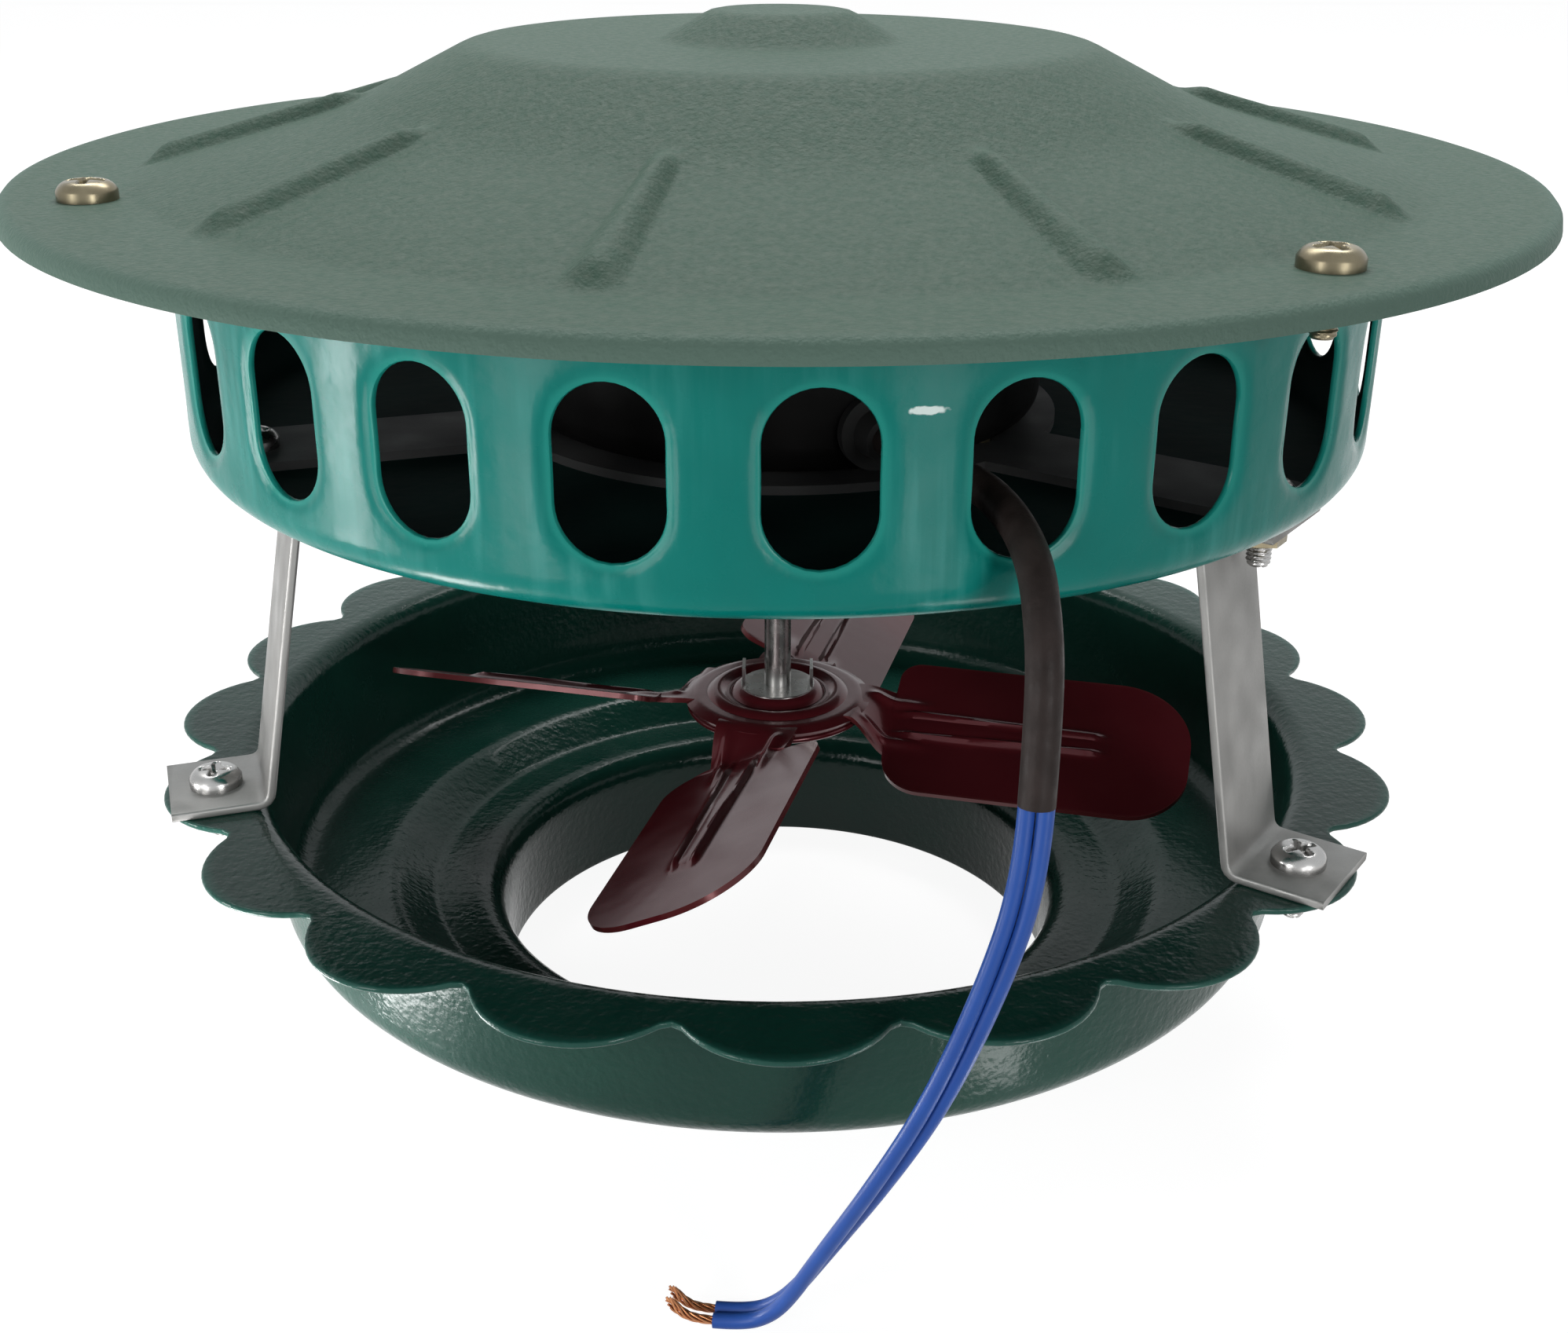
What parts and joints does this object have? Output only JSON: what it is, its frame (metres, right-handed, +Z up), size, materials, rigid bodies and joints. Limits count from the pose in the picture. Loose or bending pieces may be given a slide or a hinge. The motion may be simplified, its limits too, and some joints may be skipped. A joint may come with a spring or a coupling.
{
  "type": "chimney exhaust fan",
  "caption": "Chimney-top exhaust fan: flue pan with spigot, strap legs, slotted motor drum, ribbed rain cap, pitched paddle fan on a turning shaft, short two-lead cable.",
  "frame": {"origin": "on the fan's axis, at the lower edge of the flue spigot, on which the part stands", "axes": "+Z up along the shaft, -Y towards the viewer of the picture, +X to the viewer's right"},
  "size_m": [0.25, 0.25, 0.183],
  "materials": {
    "pan_enamel": "dark green gloss enamel with orange peel",
    "strap_steel": "grey galvanised strip",
    "drum_enamel": "glossy teal enamel",
    "cap_paint": "matte grey-green textured paint",
    "zinc_fasteners": "zinc plated",
    "motor_black": "black satin",
    "core_steel": "laminated steel",
    "winding_copper": "enamelled copper",
    "bearing_bronze": "sintered bronze",
    "grommet_rubber": "matte",
    "sleeve_plastic": "dark grey-brown sleeve",
    "lead_blue": "blue insulation",
    "strand_copper": "bare copper strands",
    "shaft_steel": "bright steel",
    "washer_plastic": "fibre",
    "fan_enamel": "maroon gloss enamel"
  },
  "bodies": {
    "housing": {"base_pan": "pan_enamel", "leg_1": "strap_steel", "leg_2": "strap_steel", "leg_3": "strap_steel", "motor_drum": "drum_enamel", "rain_cap": "cap_paint", "leg_foot_screws": "zinc_fasteners", "leg_foot_nuts": "zinc_fasteners", "leg_top_screws": "zinc_fasteners", "leg_top_nuts": "zinc_fasteners", "cap_screws": "zinc_fasteners", "cap_nuts": "zinc_fasteners", "motor_bracket": "strap_steel", "motor_lower_shell": "motor_black", "motor_upper_shell": "motor_black", "stator_core": "core_steel", "stator_winding": "winding_copper", "lower_bearing": "bearing_bronze", "upper_bearing": "bearing_bronze", "motor_bolts": "zinc_fasteners", "motor_nuts": "zinc_fasteners", "lead_grommet": "grommet_rubber", "cable_sleeve": "sleeve_plastic", "blue_lead_1": "lead_blue", "blue_lead_2": "lead_blue", "lead_strands_1": "strand_copper", "lead_strands_2": "strand_copper"},
    "rotor": {"shaft": "shaft_steel", "rotor_core": "core_steel", "thrust_washers": "washer_plastic", "fan": "fan_enamel", "hub_bush": "shaft_steel", "shaft_clip": "shaft_steel"}
  },
  "joints": [
    {"name": "fan_spin", "type": "hinge", "parent": "housing", "child": "rotor", "pos_m": [0, 0, 0.059], "axis": [0, 0, 1], "continuous": true}
  ]
}
